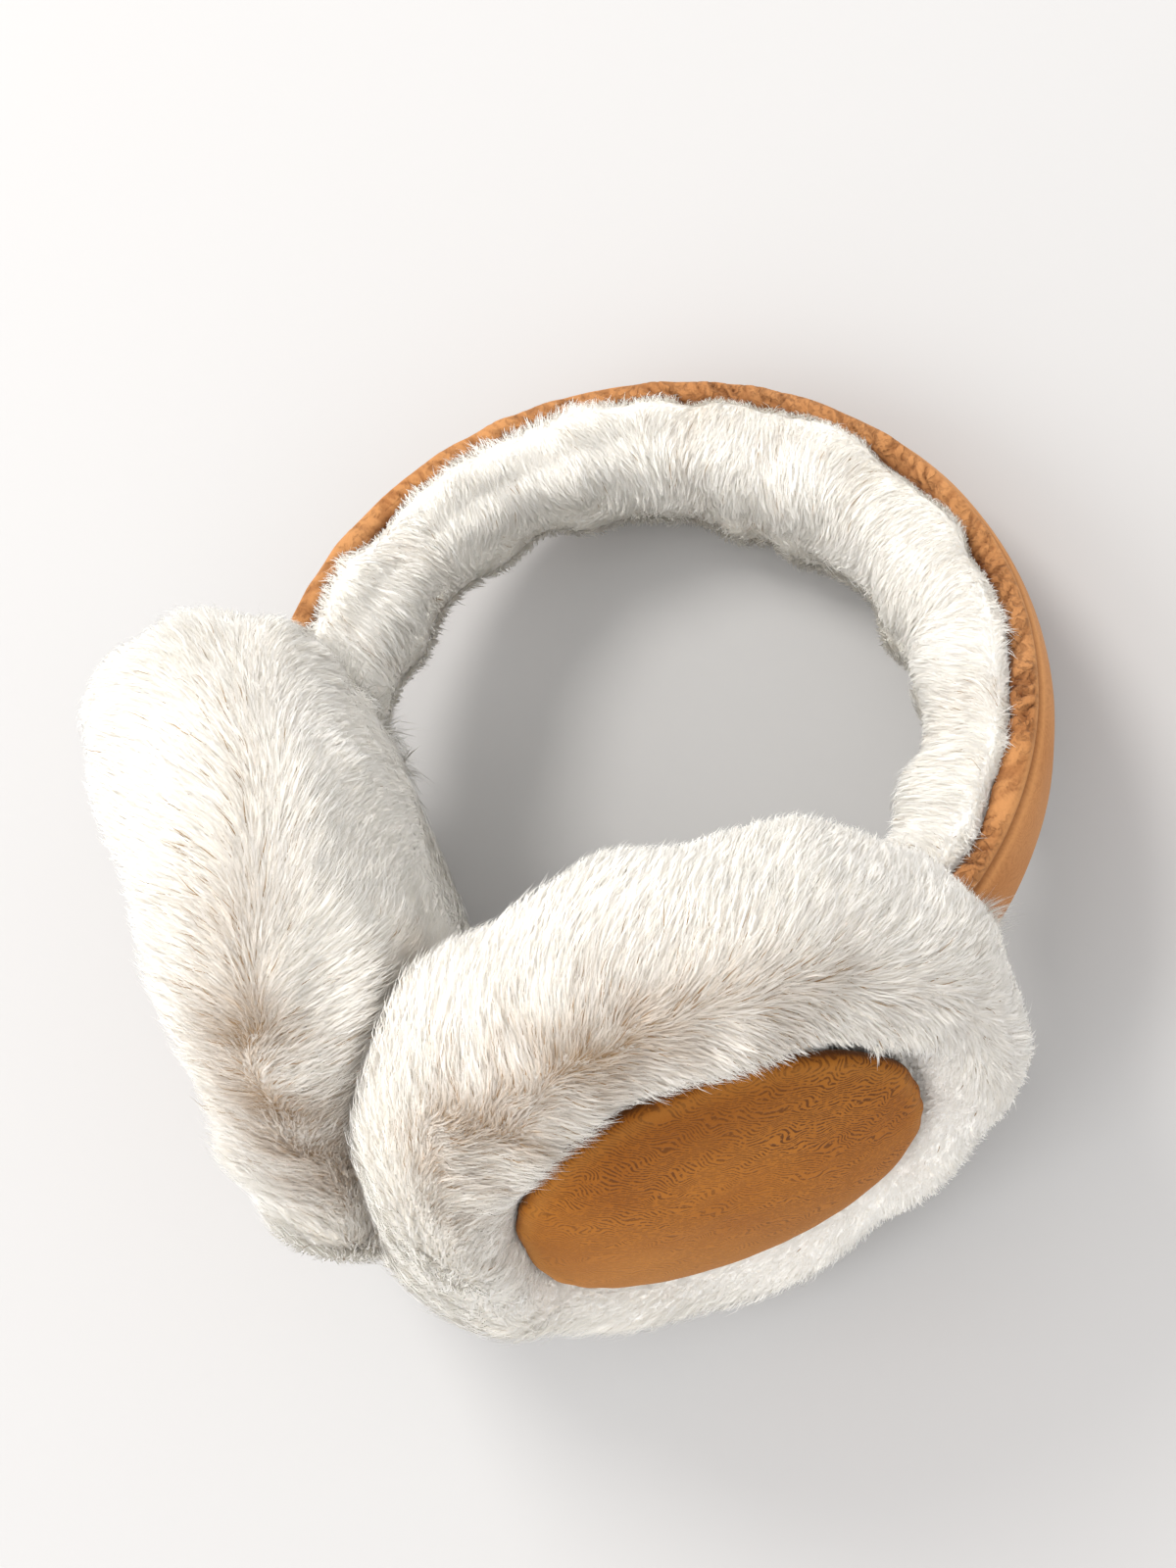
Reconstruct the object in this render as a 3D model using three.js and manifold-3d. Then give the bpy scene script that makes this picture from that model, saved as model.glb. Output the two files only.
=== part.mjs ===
// Fur earmuffs, in millimetres, +Z up, lying on their side on a floor at Z = 0.
// Everything is first shaped as worn: X from ear to ear, -Y the front, Z up to the top of the arch.
// layDown then turns it on to its back edge, where the two cups and the top of the arch rest.

import * as THREE from "three";
import { mergeVertices } from "three/addons/utils/BufferGeometryUtils.js";
import Module from "manifold-3d";

const wasm = await Module();
wasm.setup();

const degrees = THREE.MathUtils.degToRad;

// Driving dimensions of the arch, to the outside of its suede.
const ARCH = { halfWidth: 80, height: 80.4, coverEnd: degrees(112), liningEnd: degrees(111.5) };
const CLEARANCE = 0.4; // between neighbouring pieces
const PRESS = 1.6; // how far the fur of a cup is squashed by the floor

// Suede headband cover: half of its C-shaped section, from the middle of the outer face round the
// rolled rim and back inside. deep is measured in from the arch's outer line, side from its middle,
// and ruffle is the share of the rim's gathers that a point follows.
const COVER_SECTION = [
  { deep: 0.0, side: 0.0, ruffle: 0.0 },
  { deep: 0.3, side: 5.2, ruffle: 0.0 },
  { deep: 1.1, side: 9.4, ruffle: 0.1 },
  { deep: 2.5, side: 12.7, ruffle: 0.3 },
  { deep: 4.4, side: 13.5, ruffle: 0.8 },
  { deep: 6.7, side: 13.4, ruffle: 1.0 },
  { deep: 8.0, side: 12.3, ruffle: 0.9 },
  { deep: 7.8, side: 11.0, ruffle: 0.3 },
  { deep: 3.6, side: 10.6, ruffle: 0.0 },
  { deep: 2.5, side: 9.2, ruffle: 0.0 },
  { deep: 2.1, side: 0.0, ruffle: 0.0 },
];
const COVER_STEPS = 44;

// Fur lining: half of its section, which starts inside the cover and swells out past the rim.
const LINING_SECTION = [
  { deep: 2.6, side: 0.0, fluff: 0.0 },
  { deep: 3.0, side: 9.0, fluff: 0.0 },
  { deep: 4.2, side: 10.1, fluff: 0.0 },
  { deep: 8.4, side: 10.4, fluff: 0.0 },
  { deep: 9.4, side: 12.6, fluff: 0.4 },
  { deep: 13.0, side: 13.8, fluff: 1.0 },
  { deep: 18.0, side: 13.0, fluff: 1.0 },
  { deep: 21.8, side: 9.4, fluff: 1.0 },
  { deep: 23.4, side: 4.2, fluff: 1.0 },
  { deep: 23.6, side: 0.0, fluff: 1.0 },
];
const LINING_STEPS = 30;

// The pocket in each cup that takes the end of the headband; its mouth flares in the parted fur.
const POCKET = {
  from: degrees(76),
  deepFrom: -CLEARANCE,
  deepTo: 24.4,
  halfSide: 14.6,
  flareBy: 2.5,
  flareFrom: degrees(102),
  flareTo: degrees(110),
  steps: 9,
};

// An ear cup: a thick cushion of fur, its outward normal turned down from the ear-to-ear line.
const CUP = {
  centre: new THREE.Vector3(41.5, -0.9, -66.7),
  turnedDown: degrees(44),
  radius: 63.4, // along the cup, from its top to its tip
  halfDepth: 69.6, // front to back
  halfThick: 28.8,
  around: 28,
  along: 13,
};

// Half section of a cup, from the middle of the face on the ear, over the rim, to the recess that
// takes the suede patch. across is a share of the cup's radius and high a share of its half thickness.
const CUP_SECTION = [
  { across: 0.08, high: -0.96 },
  { across: 0.38, high: -0.97 },
  { across: 0.62, high: -0.9 },
  { across: 0.79, high: -0.78 },
  { across: 0.91, high: -0.6 },
  { across: 0.98, high: -0.34 },
  { across: 1.0, high: 0.0 },
  { across: 0.98, high: 0.34 },
  { across: 0.92, high: 0.6 },
  { across: 0.83, high: 0.77 },
  { across: 0.75, high: 0.81 },
  { across: 0.68, high: 0.74 },
  { across: 0.632, high: 0.63 },
];
const RECESS = { across: 0.622, high: 0.47 };

// Suede patch: the section of a low dome with a turned-under edge, as a share of its radius and in
// millimetres along the cup's normal.
const PATCH = { radius: 39.4, halfDepth: 43.4, around: 28 };
const PATCH_SECTION = [
  { across: 0.0, high: 14.5 },
  { across: 0.94, high: 14.5 },
  { across: 0.985, high: 15.4 },
  { across: 1.0, high: 17.0 },
  { across: 0.985, high: 18.5 },
  { across: 0.9, high: 20.2 },
  { across: 0.66, high: 22.6 },
  { across: 0.34, high: 24.0 },
  { across: 0.0, high: 24.4 },
];

// Rows of fur locks on a cup. from and to are places on CUP_SECTION, counted along it from 0 to 1,
// and each lock is swept round the cup on its way. first is the turn of a row's first lock.
const CUP_LOCKS = [
  { from: 0.86, to: 0.48, sweep: degrees(22), first: degrees(4), count: 9, wide: 38, lift: 2.4 },
  { from: 0.6, to: 0.2, sweep: degrees(20), first: degrees(24), count: 9, wide: 38, lift: 2.4 },
];

// Locks of the lining, combed from each side of the cover's rim to the middle of the inner face;
// from and to are places on its half section.
const LINING_LOCKS = { end: degrees(86), count: 8, from: 0.48, to: 0.93, sweep: degrees(7), wide: 17, lift: 1.5 };

// A lock from its root to its tip: its width and its height above the fur around it, as shares.
const LOCK_STATIONS = [
  { along: 0.0, wide: 0.35, rise: -0.5 },
  { along: 0.28, wide: 0.9, rise: 0.7 },
  { along: 0.62, wide: 0.95, rise: 1.0 },
  { along: 0.88, wide: 0.5, rise: 0.9 },
  { along: 1.0, wide: 0.08, rise: 0.3 },
];
// A lock's section: across is a share of half its width, up a share of its height, and down in mm.
const LOCK_SECTION = [
  { across: -1.0, up: 0.0, down: 1.2 },
  { across: 0.0, up: 0.0, down: 3.0 },
  { across: 1.0, up: 0.0, down: 1.2 },
  { across: 0.55, up: 0.8, down: 0.0 },
  { across: -0.55, up: 0.8, down: 0.0 },
];

const COLOURS = { suede: 0xc08a4e, fur: 0xf3eee4 };

// Helpers for closed bodies.

// Joins loops of equal count into one closed body, with a flat face at each end. Each loop holds its
// points in space and the same points as a flat outline, from which the end faces are cut.
function closedBody(loops) {
  const count = loops[0].points.length;
  const positions = loops.flatMap((loop) => loop.points.flatMap((p) => [p.x, p.y, p.z]));
  const index = [];
  for (let i = 0; i + 1 < loops.length; i += 1) {
    for (let k = 0; k < count; k += 1) {
      const a = i * count + k;
      const b = i * count + ((k + 1) % count);
      index.push(a, b, b + count, a, b + count, a + count);
    }
  }
  const last = (loops.length - 1) * count;
  for (const [a, b, c] of endFace(loops[0].outline)) index.push(c, b, a);
  for (const [a, b, c] of endFace(loops.at(-1).outline)) index.push(last + a, last + b, last + c);
  const geometry = new THREE.BufferGeometry();
  geometry.setAttribute("position", new THREE.Float32BufferAttribute(positions, 3));
  geometry.setIndex(index);
  return facingOut(geometry);
}

// The triangles of a flat outline, turning the same way round as the outline itself.
function endFace(outline) {
  const triangles = THREE.ShapeUtils.triangulateShape(outline, []);
  const same = THREE.ShapeUtils.isClockWise(outline) === false;
  return same ? triangles : triangles.map(([a, b, c]) => [c, b, a]);
}

// Six times the volume that a geometry encloses, negative when it faces in.
function volume6(geometry) {
  const position = geometry.attributes.position;
  const index = geometry.index.array;
  const [a, b, c] = [new THREE.Vector3(), new THREE.Vector3(), new THREE.Vector3()];
  let sum = 0;
  for (let i = 0; i < index.length; i += 3) {
    a.fromBufferAttribute(position, index[i]);
    b.fromBufferAttribute(position, index[i + 1]);
    c.fromBufferAttribute(position, index[i + 2]);
    sum += a.dot(b.cross(c));
  }
  return sum;
}

function facingOut(geometry) {
  if (volume6(geometry) < 0) {
    const index = geometry.index.array;
    for (let i = 0; i < index.length; i += 3) [index[i], index[i + 1]] = [index[i + 1], index[i]];
  }
  return geometry;
}

function toSolid(geometry) {
  const bare = geometry.clone();
  bare.deleteAttribute("normal");
  bare.deleteAttribute("uv");
  const merged = mergeVertices(bare, 1e-4);
  const vertProperties = Float32Array.from(merged.attributes.position.array);
  const triVerts = Uint32Array.from(merged.index.array);
  return new wasm.Manifold(new wasm.Mesh({ numProp: 3, vertProperties, triVerts }));
}

function toGeometry(solid) {
  const mesh = solid.getMesh();
  const geometry = new THREE.BufferGeometry();
  geometry.setAttribute("position", new THREE.Float32BufferAttribute(mesh.vertProperties, 3));
  geometry.setIndex(Array.from(mesh.triVerts));
  return geometry;
}

// The arch.

// A point of the arch: turn is counted from its top towards the right ear.
function onArch(turn, deep, side) {
  const x = (ARCH.halfWidth - deep) * Math.sin(turn);
  const z = (ARCH.height - deep) * Math.cos(turn);
  return new THREE.Vector3(x, side, z);
}

// Closes a half section into a whole one: the given half on the back side, its mirror on the front.
function bothSides(half) {
  const front = half.slice(1, -1).reverse().map((row) => ({ ...row, side: -row.side }));
  return [...half, ...front];
}

// Sweeps a section along the arch. shape(row, turn) gives a point's own depth and side there.
function sweepArch(section, from, to, steps, shape) {
  const loops = [];
  for (let i = 0; i <= steps; i += 1) {
    const turn = from + ((to - from) * i) / steps;
    const outline = section.map((row) => new THREE.Vector2(...shape(row, turn)));
    loops.push({ points: outline.map((p) => onArch(turn, p.x, p.y)), outline });
  }
  return closedBody(loops);
}

// 1 over the open part of the arch and 0 where it is inside a cup.
function inTheOpen(turn) {
  return 1 - THREE.MathUtils.smoothstep(Math.abs(turn), degrees(88), degrees(97));
}

// The gathers of the rolled rim: uneven puckers, pulled in where two waves meet.
function gathers(turn) {
  const waves = 0.6 * Math.sin(31 * turn) + 0.4 * Math.sin(47 * turn + 1.3);
  return inTheOpen(turn) * (0.45 * waves - 0.15);
}

function headbandCover() {
  const shape = (row, turn) => {
    const pucker = row.ruffle * gathers(turn + Math.sign(row.side) * 0.05);
    return [row.deep + pucker, row.side + Math.sign(row.side) * 0.6 * pucker];
  };
  return sweepArch(bothSides(COVER_SECTION), -ARCH.coverEnd, ARCH.coverEnd, COVER_STEPS, shape);
}

// The soft cross-folds of the fur lining.
function folds(turn) {
  const waves = 0.6 * Math.sin(9 * turn + 0.4) + 0.4 * Math.sin(17 * turn + 2.0);
  return 0.7 * inTheOpen(turn) * waves;
}

function liningShape(row, turn) {
  const fold = row.fluff * folds(turn);
  return [row.deep + fold, row.side + Math.sign(row.side) * 0.4 * fold];
}

// A point of a half section, at a place along it from 0 to 1.
function onSection(section, place) {
  const at = place * (section.length - 1);
  const i = Math.min(Math.floor(at), section.length - 2);
  const mix = (key) => THREE.MathUtils.lerp(section[i][key], section[i + 1][key], at - i);
  return { deep: mix("deep"), side: mix("side"), fluff: mix("fluff") };
}

// One lock of fur on a surface. surface(u, v, height) gives a point that stands off it by height;
// path(along) gives u and v from root to tip, and perUnit is the width of one unit of u in mm.
function lock(surface, path, perUnit, wide, lift) {
  const loops = LOCK_STATIONS.map((station) => {
    const { u, v } = path(station.along);
    const half = (station.wide * wide) / 2;
    const outline = LOCK_SECTION.map(
      (row) => new THREE.Vector2(row.across * half, row.up * station.rise * lift - row.down),
    );
    return { points: outline.map((p) => surface(u + p.x / perUnit, v, p.y)), outline };
  });
  return toSolid(closedBody(loops));
}

// The lining's own surface on its back side, or its front side when side is -1.
function onLining(side) {
  const bare = (turn, place) => {
    const row = onSection(LINING_SECTION, place);
    const [deep, across] = liningShape({ ...row, side: side * row.side }, turn);
    return onArch(turn, deep, across);
  };
  return (turn, place, height) => {
    const over = bare(turn, place + 0.02).sub(bare(turn, place - 0.02));
    const round = bare(turn + 0.02, place).sub(bare(turn - 0.02, place));
    const out = over.cross(round).normalize().multiplyScalar(side);
    return bare(turn, place).addScaledVector(out, height);
  };
}

function liningLock(side, turn) {
  const { from, to, sweep, wide, lift } = LINING_LOCKS;
  const path = (along) => ({
    u: turn + sweep * along * Math.sin(23 * turn),
    v: THREE.MathUtils.lerp(from, to, along),
  });
  return lock(onLining(side), path, ARCH.halfWidth - 16, wide, lift);
}

function headbandLining() {
  const section = bothSides(LINING_SECTION);
  let fur = toSolid(sweepArch(section, -ARCH.liningEnd, ARCH.liningEnd, LINING_STEPS, liningShape));
  const { end, count } = LINING_LOCKS;
  for (let i = 0; i < count; i += 1) {
    const turn = end * ((2 * i) / (count - 1) - 1);
    fur = fur.add(liningLock(-1, turn)).add(liningLock(1, turn));
  }
  return fur;
}

// The right cup, in its own directions.

const normal = new THREE.Vector3(Math.cos(CUP.turnedDown), 0, -Math.sin(CUP.turnedDown));
const upward = new THREE.Vector3(Math.sin(CUP.turnedDown), 0, Math.cos(CUP.turnedDown));
const backward = new THREE.Vector3(0, 1, 0);

// A point of the cup from its place along the cup, front to back and along the normal.
function inCup(up, back, out) {
  return CUP.centre
    .clone()
    .addScaledVector(upward, up)
    .addScaledVector(backward, back)
    .addScaledVector(normal, out);
}

const cupSection = new THREE.SplineCurve(CUP_SECTION.map((row) => new THREE.Vector2(row.across, row.high)));

// The cup's fur surface: turn goes round it from its top, along is a place on CUP_SECTION from 0 to 1.
function onCup(turn, along) {
  const { x: across, y: high } = cupSection.getPoint(along);
  const loose = THREE.MathUtils.smoothstep(across, 0.66, 0.86);
  const swell = 0.014 * Math.cos(3 * turn + 0.6) + 0.012 * Math.cos(5 * turn - 1.1) + 0.01 * Math.cos(9 * turn + 5 * high);
  const reach = across * (1 + loose * swell);
  return inCup(
    CUP.radius * reach * Math.cos(turn),
    CUP.halfDepth * reach * Math.sin(turn),
    CUP.halfThick * high * (1 + 0.6 * loose * swell),
  );
}

// A point that stands off the cup's surface by height.
function offCup(turn, along, height) {
  const step = 0.01;
  const round = onCup(turn + step, along).sub(onCup(turn - step, along));
  const over = onCup(turn, along + step).sub(onCup(turn, along - step));
  return onCup(turn, along).addScaledVector(round.cross(over).normalize(), height);
}

function cupRing(place) {
  const points = [];
  const outline = [];
  for (let k = 0; k < CUP.around; k += 1) {
    const turn = (2 * Math.PI * k) / CUP.around;
    points.push(place(turn));
    outline.push(new THREE.Vector2(Math.cos(turn), Math.sin(turn)));
  }
  return { points, outline };
}

function cupCushion() {
  const loops = [];
  for (let i = 0; i <= CUP.along; i += 1) loops.push(cupRing((turn) => onCup(turn, i / CUP.along)));
  const { across, high } = RECESS;
  loops.push(
    cupRing((turn) => {
      const up = CUP.radius * across * Math.cos(turn);
      return inCup(up, CUP.halfDepth * across * Math.sin(turn), CUP.halfThick * high);
    }),
  );
  return closedBody(loops);
}

function cupLock(row, place) {
  const turn = row.first + (2 * Math.PI * place) / row.count;
  const path = (along) => ({
    u: turn + row.sweep * (along - 0.5),
    v: THREE.MathUtils.lerp(row.from, row.to, along),
  });
  return lock(offCup, path, CUP.radius, row.wide * (1 + 0.12 * Math.sin(5 * turn)), row.lift);
}

function cupFur() {
  let fur = toSolid(cupCushion());
  for (const row of CUP_LOCKS) {
    for (let place = 0; place < row.count; place += 1) fur = fur.add(cupLock(row, place));
  }
  const { from, deepFrom, deepTo, halfSide, flareBy, flareFrom, flareTo, steps } = POCKET;
  const pocketSection = [
    { deep: deepFrom, side: -halfSide },
    { deep: deepFrom, side: halfSide },
    { deep: deepTo, side: halfSide },
    { deep: deepTo, side: -halfSide },
  ];
  const pocketEnd = ARCH.coverEnd + CLEARANCE / ARCH.halfWidth;
  const flaredMouth = (row, turn) => {
    const flare = flareBy * (1 - THREE.MathUtils.smoothstep(turn, flareFrom, flareTo));
    return [row.deep + Math.sign(row.deep) * flare, row.side + Math.sign(row.side) * flare];
  };
  const pocket = sweepArch(pocketSection, from, pocketEnd, steps, flaredMouth);
  // The two cups press together, so each one is flat where they meet.
  const otherSide = new THREE.BoxGeometry(200, 400, 400).translate(-100 + CLEARANCE / 2, 0, 0);
  return fur.subtract(toSolid(pocket)).subtract(toSolid(otherSide));
}

function cupPatch() {
  const profile = PATCH_SECTION.map((row) => new THREE.Vector2(PATCH.radius * row.across, row.high));
  const dome = new THREE.LatheGeometry(profile, PATCH.around);
  dome.scale(1, 1, PATCH.halfDepth / PATCH.radius);
  const axes = new THREE.Matrix4().makeBasis(upward, normal, backward);
  dome.applyMatrix4(axes.setPosition(CUP.centre));
  return toGeometry(toSolid(dome));
}

// Lying down.

// How low a body reaches once it is laid on its back edge and tipped towards the top of the arch.
function lowest(geometry, tip) {
  const position = geometry.attributes.position;
  let low = Infinity;
  for (let i = 0; i < position.count; i += 1) {
    low = Math.min(low, -position.getY(i) * Math.cos(tip) - position.getZ(i) * Math.sin(tip));
  }
  return low;
}

// The tip at which the cups, squashed by PRESS, and the top of the arch touch the floor together.
function findTip(arch, cushion) {
  let [flat, steep] = [0, degrees(45)];
  for (let i = 0; i < 40; i += 1) {
    const tip = (flat + steep) / 2;
    if (lowest(cushion, tip) + PRESS < lowest(arch, tip)) flat = tip;
    else steep = tip;
  }
  return (flat + steep) / 2;
}

function mirrored(geometry) {
  return facingOut(geometry.clone().scale(-1, 1, 1));
}

const cover = headbandCover();
const tip = findTip(cover, cupCushion());
const floorHeight = lowest(cover, tip);

function layDown(geometry) {
  return geometry.rotateX(-Math.PI / 2 - tip).translate(0, 0, -floorHeight);
}

const belowFloor = toSolid(new THREE.BoxGeometry(600, 600, 100).translate(0, 0, -50));
const rightFur = toGeometry(toSolid(layDown(toGeometry(cupFur()))).subtract(belowFloor));
const rightPatch = layDown(cupPatch());

const pieces = [
  { name: "headband_cover", geometry: layDown(cover), colour: COLOURS.suede },
  { name: "headband_lining", geometry: layDown(toGeometry(headbandLining())), colour: COLOURS.fur },
  { name: "ear_fur_right", geometry: rightFur, colour: COLOURS.fur },
  { name: "ear_fur_left", geometry: mirrored(rightFur), colour: COLOURS.fur },
  { name: "ear_patch_right", geometry: rightPatch, colour: COLOURS.suede },
  { name: "ear_patch_left", geometry: mirrored(rightPatch), colour: COLOURS.suede },
];

// The origin is on the floor, under the middle of the whole.
const whole = new THREE.Box3();
for (const { geometry } of pieces) {
  geometry.computeBoundingBox();
  whole.union(geometry.boundingBox);
}
const middle = whole.getCenter(new THREE.Vector3());

const earmuffs = new THREE.Group();
earmuffs.name = "fur_earmuffs";
for (const { name, geometry, colour } of pieces) {
  geometry.translate(-middle.x, -middle.y, 0);
  geometry.computeVertexNormals();
  const material = new THREE.MeshStandardMaterial({ color: colour, roughness: 0.95, metalness: 0 });
  const mesh = new THREE.Mesh(geometry, material);
  mesh.name = name;
  earmuffs.add(mesh);
}

export default earmuffs;
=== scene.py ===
# Fur earmuffs: the looks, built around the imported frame. Metres, in the same frame as the CAD.
import math

import bpy
import numpy as np
from mathutils import Matrix, Vector, noise
from mathutils.kdtree import KDTree


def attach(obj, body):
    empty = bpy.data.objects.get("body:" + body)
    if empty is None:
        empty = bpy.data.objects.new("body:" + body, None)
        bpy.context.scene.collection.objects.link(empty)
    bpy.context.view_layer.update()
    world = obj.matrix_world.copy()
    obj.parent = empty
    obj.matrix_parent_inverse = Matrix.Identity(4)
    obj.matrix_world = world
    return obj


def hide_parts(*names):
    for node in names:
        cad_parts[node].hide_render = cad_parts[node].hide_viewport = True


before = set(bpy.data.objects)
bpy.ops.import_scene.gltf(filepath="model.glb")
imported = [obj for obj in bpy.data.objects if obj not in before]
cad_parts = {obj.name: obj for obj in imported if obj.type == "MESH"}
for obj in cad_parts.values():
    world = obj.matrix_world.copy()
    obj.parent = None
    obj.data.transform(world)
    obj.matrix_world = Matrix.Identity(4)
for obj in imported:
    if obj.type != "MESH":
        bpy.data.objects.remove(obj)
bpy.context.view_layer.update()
scene = bpy.context.scene
rng = np.random.default_rng(11)
MM = 0.001

# The earmuffs as worn, turned on to their side: X across, -Y the front and Z up become the row frame.
TIP = math.radians(22.02)
LIFT = np.array([0.0, 21.23, 41.01]) * MM
LAID = np.array(Matrix.Rotation(-math.pi / 2 - TIP, 3, "X"))

# Sizes of the part, in millimetres, as its solids have them.
ARCH_HALF_WIDTH = 80.0
ARCH_HEIGHT = 80.4
ARCH_END = math.radians(112)
CUP_CENTRE = np.array([41.5, -0.9, -66.7])
CUP_TURNED_DOWN = math.radians(44)
CUP_RADIUS = 63.4
CUP_HALF_DEPTH = 69.6
CUP_HALF_THICK = 28.8
PATCH_RADIUS = 39.4
PATCH_HALF_DEPTH = 43.4
# The band's section where it goes into a cup: its middle below the arch's face, and its half sizes.
BAND_MIDDLE_DEEP = 11.0
BAND_HALF_DEEP = 12.0
BAND_HALF_WIDE = 14.0
# Least heights over the floor, in metres.
UNDERFUR_LOWEST = 0.3 * MM
HAIR_LOWEST = 0.2 * MM
SUEDE_LOWEST = 0.1 * MM


def laid(points):
    """Points given in the pose on a head, in millimetres, in the row frame in metres."""
    return points @ LAID.T * MM + LIFT


def unit(v):
    return v / np.maximum(np.linalg.norm(v, axis=-1, keepdims=True), 1e-12)


def smoothstep(low, high, x):
    t = np.clip((x - low) / (high - low), 0, 1)
    return t * t * (3 - 2 * t)


def bell(x, width):
    """1 at 0, falling to nothing on both sides over about twice this width."""
    return np.exp(-((x / width) ** 2))


# Camera: the photograph's angle to the object.
CAMERA_AT = Vector((0.16153, 0.00638, 0.48491))
CAMERA_RIGHT = Vector((0.87485, 0.35095, -0.33388))
CAMERA_UP = Vector((-0.32727, 0.93639, 0.12673))
CAMERA_LENS = 54.0


def add_camera():
    data = bpy.data.cameras.new("camera")
    camera = bpy.data.objects.new("camera", data)
    scene.collection.objects.link(camera)
    data.sensor_width = 36
    data.lens = CAMERA_LENS
    data.clip_start = 0.01
    back = CAMERA_RIGHT.cross(CAMERA_UP)
    axes = Matrix((CAMERA_RIGHT, CAMERA_UP, back)).transposed().to_4x4()
    camera.matrix_world = Matrix.Translation(CAMERA_AT) @ axes
    scene.camera = camera
    return back


camera_back = add_camera()


# Node materials.
class Nodes:
    """Short calls for building one material's node tree."""

    def __init__(self, name):
        self.material = bpy.data.materials.new(name)
        self.material.use_nodes = True
        self.tree = self.material.node_tree
        self.shader = self.tree.nodes["Principled BSDF"]

    def add(self, kind, **settings):
        node = self.tree.nodes.new(kind)
        for key, value in settings.items():
            if hasattr(node, key):
                setattr(node, key, value)
            else:
                node.inputs[key.replace("_", " ").title()].default_value = value
        return node

    def link(self, out, into):
        self.tree.links.new(out, into)

    def noise(self, scale, detail, distortion=0.0):
        node = self.add("ShaderNodeTexNoise", Scale=scale, Detail=detail, Distortion=distortion)
        self.link(self.place(), node.inputs["Vector"])
        return node.outputs["Fac"]

    def place(self):
        return self.add("ShaderNodeTexCoord").outputs["Object"]

    def attribute(self, name):
        return self.add("ShaderNodeAttribute", attribute_name=name).outputs["Fac"]

    def ramp(self, fac, stops):
        node = self.add("ShaderNodeValToRGB")
        ends = node.color_ramp.elements
        while len(ends) < len(stops):
            ends.new(0.5)
        for end, (place, colour) in zip(ends, stops):
            end.position = place
            end.color = (*colour, 1)
        self.link(fac, node.inputs["Fac"])
        return node.outputs["Color"]

    def step(self, fac, low, high):
        """Black up to low, white from high on."""
        return self.ramp(fac, ((low, (0, 0, 0)), (high, (1, 1, 1))))

    def mix(self, fac, a, b, blend="MIX"):
        node = self.add("ShaderNodeMix", data_type="RGBA", blend_type=blend)
        for value, index in ((fac, 0), (a, 6), (b, 7)):
            if hasattr(value, "is_linked"):
                self.link(value, node.inputs[index])
            elif index == 0:
                node.inputs[0].default_value = value
            else:
                node.inputs[index].default_value = (*value, 1)
        return node.outputs[2]

    def math(self, how, a, b=0.0):
        node = self.add("ShaderNodeMath", operation=how)
        for value, index in ((a, 0), (b, 1)):
            if hasattr(value, "is_linked"):
                self.link(value, node.inputs[index])
            else:
                node.inputs[index].default_value = value
        return node.outputs[0]

    def bump(self, height, strength, distance, after=None):
        node = self.add("ShaderNodeBump", Strength=strength, Distance=distance)
        self.link(height, node.inputs["Height"])
        if after is not None:
            self.link(after, node.inputs["Normal"])
        return node.outputs["Normal"]

    def surface(self, **constants):
        """Sets what is the same all over on the shader's own sockets."""
        for name, value in constants.items():
            self.shader.inputs[name.replace("_", " ")].default_value = value


# How fine the patterns are, as the scale of their noise over a metre.
FUR_BLOTCHES = 38.0
UNDERFUR_GRAIN = 1100.0
BRUSHED_CLOUDS = 36.0
NAP_PATCHES = 45.0
SUEDE_GRAIN = 3200.0
SUEDE_CRINKLES = 430.0
# The nap of suede: the width of a stroke and the size of a whorl, in metres, and how far strokes bend.
NAP_PITCH = 0.00064
NAP_WHORL = 0.0075
NAP_BEND = 40.0


def fur_material(name, tip, root, shaded):
    """Fur hairs: pale tips over darker roots, with a tint of its own for each hair."""
    n = Nodes(name)
    reach = n.math("SUBTRACT", 1.0, n.attribute("along"))
    depth = n.attribute("depth")
    pale = n.mix(n.math("MULTIPLY", n.attribute("tint"), 0.55), tip, root)
    # Each hair darkens towards its root: its own root tone and painted shade deep in the pile.
    colour = n.mix(n.math("MULTIPLY", reach, 0.3), pale, root)
    # The depth attribute mixes in brown roots and painted shade where the pile parts, and painted shade
    # where the cups meet and in the lining's creases.
    shown = n.math("MULTIPLY", depth, n.math("ADD", n.math("MULTIPLY", reach, 0.6), 0.4))
    colour = n.mix(shown, colour, shaded)
    blotches = n.ramp(n.noise(FUR_BLOTCHES, 2.0), ((0.3, (0.95, 0.945, 0.93)), (0.7, (1.0, 1.0, 1.0))))
    n.link(n.mix(1.0, colour, blotches, "MULTIPLY"), n.shader.inputs["Base Color"])
    n.surface(Roughness=0.85, Specular_IOR_Level=0.2, Sheen_Weight=0.15, Sheen_Roughness=0.5)
    # Light scatters on between the pale hairs.
    n.shader.subsurface_method = "BURLEY"
    n.surface(Subsurface_Weight=0.6, Subsurface_Radius=(1.0, 0.95, 0.88), Subsurface_Scale=0.002)
    return n.material


def under_fur_material(name, pale, root, shaded):
    """The dense underfur between the hairs: brown roots and painted shade where the pile parts, and painted
    shade where the cups meet and along the lining's creases.
    """
    n = Nodes(name)
    fine = n.noise(UNDERFUR_GRAIN, 4.0)
    depth = n.attribute("depth")
    # Painted shade, with the roots' brown, where the depth attribute says.
    even = n.mix(n.math("MULTIPLY", depth, 0.5), pale, shaded)
    # Pits in the underfur's grain take the roots' tone, painted shade between the hairs.
    pits = n.mix(depth, root, shaded)
    n.link(n.mix(n.step(fine, 0.35, 0.62), pits, even), n.shader.inputs["Base Color"])
    n.link(n.bump(fine, 0.8, 0.0006), n.shader.inputs["Normal"])
    n.surface(Roughness=0.95, Specular_IOR_Level=0.1)
    return n.material


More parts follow.
